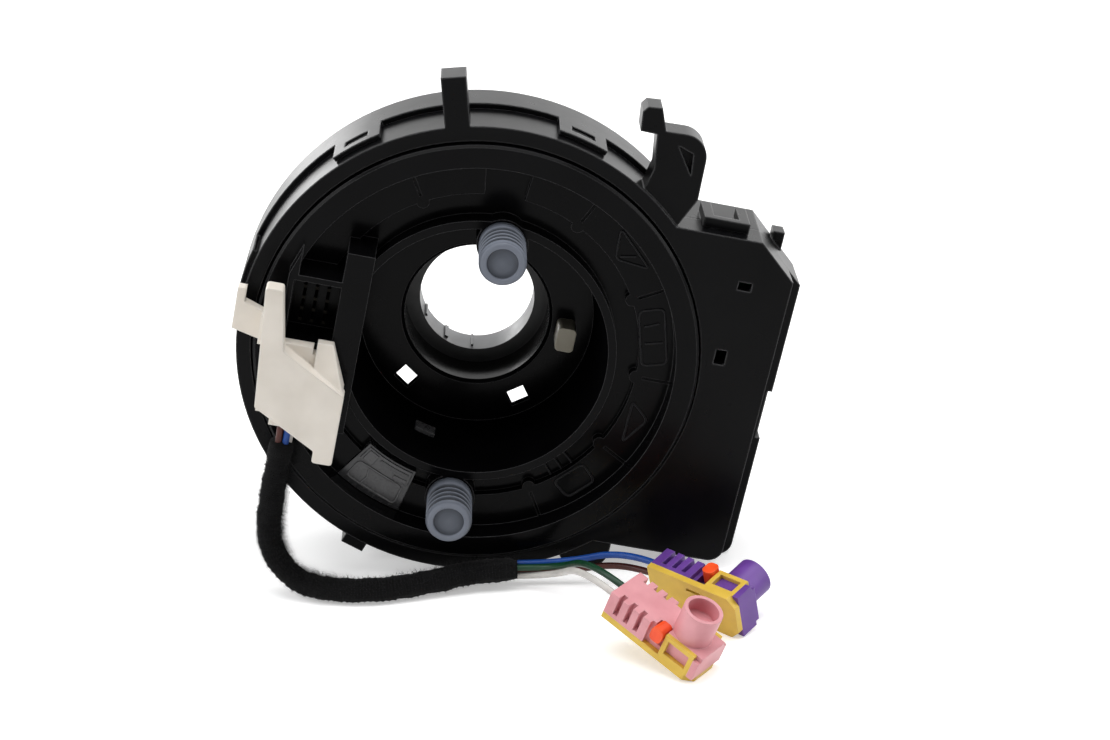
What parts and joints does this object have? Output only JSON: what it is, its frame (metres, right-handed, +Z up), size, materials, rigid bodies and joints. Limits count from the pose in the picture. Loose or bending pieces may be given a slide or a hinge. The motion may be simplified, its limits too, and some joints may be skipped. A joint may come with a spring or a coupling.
{
  "type": "steering clock spring",
  "caption": "Steering column clock spring: a rotor turns in a ring shell with an electronics box, and a taped harness leads from the rotor to two airbag connectors.",
  "frame": {"origin": "on the steering column axis, at the rear end of the hub's bore", "axes": "+Y along the column axis towards the vehicle, +Z up as it stands, +X towards the electronics box"},
  "size_m": [0.1465, 0.113, 0.1369],
  "materials": {
    "black_plastic": "gloss",
    "black_satin": "satin",
    "grey_rubber": "satin",
    "clear_plastic": "gloss",
    "ivory_plastic": "satin",
    "white_plastic": "satin",
    "fleece_tape": "matte",
    "ribbon_film": "gloss",
    "board": "satin",
    "contact_brass": "polished",
    "blue_wire": "satin",
    "brown_wire": "satin",
    "green_wire": "satin",
    "white_wire": "satin",
    "purple_plastic": "satin",
    "yellow_plastic": "satin",
    "pink_plastic": "satin",
    "orange_plastic": "satin"
  },
  "bodies": {
    "stator": {"front_housing": "black_satin", "rear_housing": "black_satin", "circuit_board": "board", "header_shroud": "black_satin", "header_pins": "contact_brass", "flat_cable": "ribbon_film"},
    "rotor": {"rotor_disc": "black_plastic", "rear_hub": "black_satin", "upper_plug": "grey_rubber", "lower_plug": "grey_rubber", "centre_window": "clear_plastic", "index_tab": "ivory_plastic", "socket_pins": "contact_brass", "white_connector": "white_plastic", "harness_tape": "fleece_tape", "wire_blue": "blue_wire", "wire_brown": "brown_wire", "wire_green": "green_wire", "wire_white": "white_wire", "purple_body": "purple_plastic", "purple_cover": "yellow_plastic", "pink_body": "pink_plastic", "pink_cover": "yellow_plastic"},
    "purple_lock": {"purple_lock": "orange_plastic"},
    "pink_lock": {"pink_lock": "orange_plastic"}
  },
  "joints": [
    {"name": "rotor_turn", "type": "hinge", "parent": "stator", "child": "rotor", "pos_m": [0, 0, 0], "axis": [0, 1, 0], "range_deg": [-900, 900]},
    {"name": "purple_lock_slide", "type": "slide", "parent": "rotor", "child": "purple_lock", "axis": [-0.674, -0.698, -0.2419], "range_m": [0, 0.002]},
    {"name": "pink_lock_slide", "type": "slide", "parent": "rotor", "child": "pink_lock", "axis": [-0.2952, 0.2306, -0.9272], "range_m": [0, 0.002]}
  ]
}
